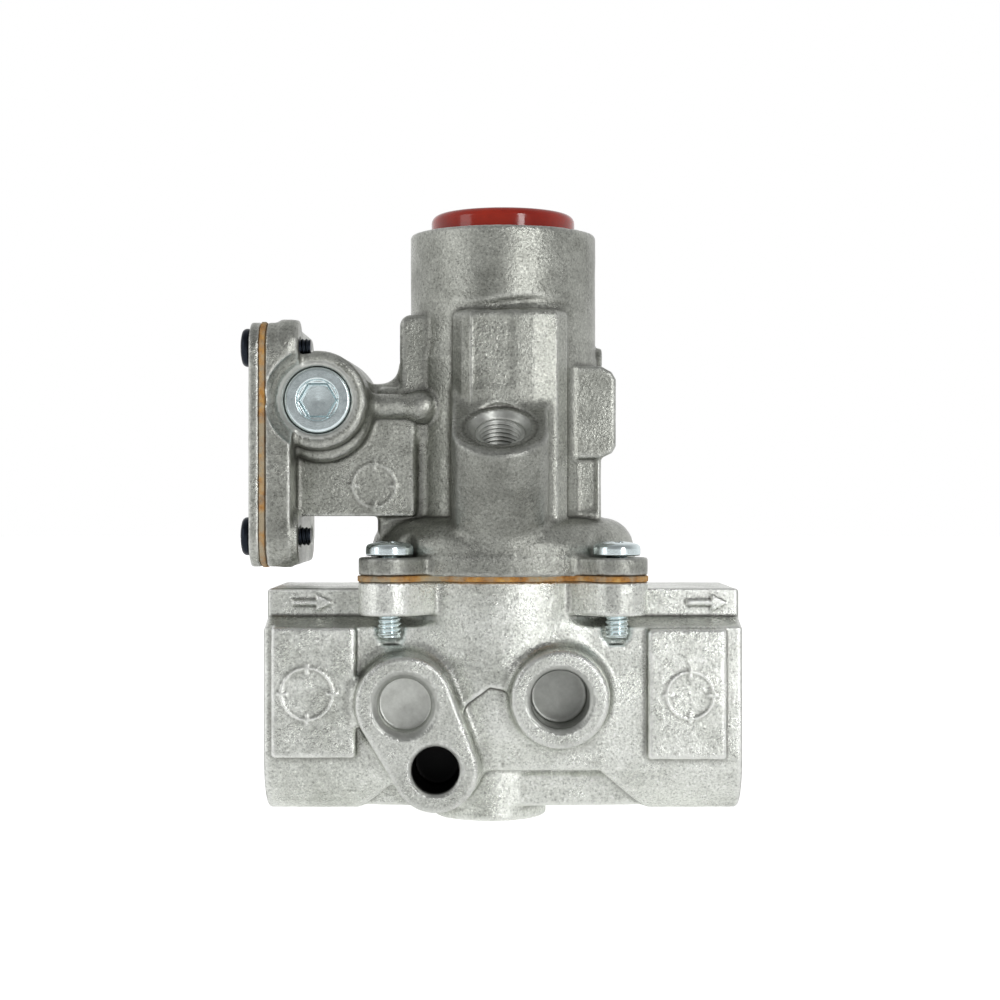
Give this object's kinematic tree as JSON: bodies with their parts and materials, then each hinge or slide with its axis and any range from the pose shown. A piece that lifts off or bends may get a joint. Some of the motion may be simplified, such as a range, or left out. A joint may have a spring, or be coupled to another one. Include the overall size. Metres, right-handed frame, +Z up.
{
  "type": "gas safety valve",
  "caption": "Aluminium gas valve with female pipe ports, bolted bonnet tower, red manual reset button, slanted thermocouple port, pilot adjuster plug and side filter cover.",
  "frame": {"origin": "centre line of the tower at the base pad's underside", "axes": "+Z up the tower, +X towards the outlet port, -Y the front with the thermocouple port"},
  "size_m": [0.1037, 0.0673, 0.1294],
  "materials": {
    "lower_casting": "granular die-cast",
    "tower_casting": "dull die-cast",
    "gasket": "compressed fibre",
    "zinc": "bright zinc plate",
    "black_screw": "black oxide",
    "brass": "turned",
    "rubber": "matte",
    "felt": "felt",
    "steel": "satin",
    "iron": "ground soft iron",
    "copper": "enamelled copper winding",
    "insulator": "phenolic",
    "red_button": "glossy red"
  },
  "bodies": {
    "body": {"lower_body": "lower_casting", "bonnet_tower": "tower_casting", "bonnet_gasket": "gasket", "side_gasket": "gasket", "side_cover": "tower_casting", "hex_plug": "zinc", "filter_element": "felt", "filter_spring": "steel", "seat_ring": "brass", "seat_oring": "rubber", "magnet_plate": "steel", "magnet_yoke": "iron", "magnet_coil_1": "copper", "magnet_coil_2": "copper", "contact_bush": "insulator", "contact_pin": "brass", "contact_lead": "copper", "guide_plate": "steel", "stem_oring": "rubber", "return_spring": "steel", "closing_spring": "steel", "bonnet_screw_1": "zinc", "cover_screw_1": "black_screw", "bonnet_screw_2": "zinc", "cover_screw_2": "black_screw", "bonnet_screw_3": "zinc", "cover_screw_3": "black_screw", "bonnet_screw_4": "zinc", "cover_screw_4": "black_screw"},
    "reset_plunger": {"reset_button": "red_button", "reset_stem": "steel", "stem_clip": "steel"},
    "valve_train": {"armature": "iron", "valve_stem": "steel", "valve_nut": "steel", "valve_disc": "lower_casting", "valve_rubber": "rubber"},
    "needle_seal": {"needle_oring": "rubber"},
    "pilot_needle": {"pilot_needle": "brass"}
  },
  "joints": [
    {"name": "reset_press", "type": "slide", "parent": "body", "child": "reset_plunger", "axis": [0, 0, -1], "range_m": [0, 0.004], "stiffness_N_per_m": 400, "springref_m": -0.003, "deforming": ["return_spring"]},
    {"name": "valve_travel", "type": "slide", "parent": "body", "child": "valve_train", "axis": [0, 0, -1], "range_m": [0, 0.004], "stiffness_N_per_m": 300, "springref_m": -0.003, "deforming": ["closing_spring"]},
    {"name": "needle_feed", "type": "slide", "parent": "body", "child": "needle_seal", "axis": [0, -1, 0], "range_m": [0, 0.0008]},
    {"name": "needle_turn", "type": "hinge", "parent": "needle_seal", "child": "pilot_needle", "pos_m": [-0.0383, -0.012, 0.0885], "axis": [0, -1, 0], "range_deg": [0, 360]}
  ],
  "couplings": [
    {"joint": "valve_travel", "follows": "reset_press", "ratio": 1},
    {"joint": "needle_turn", "follows": "needle_feed", "rad_per_m": 7854}
  ]
}
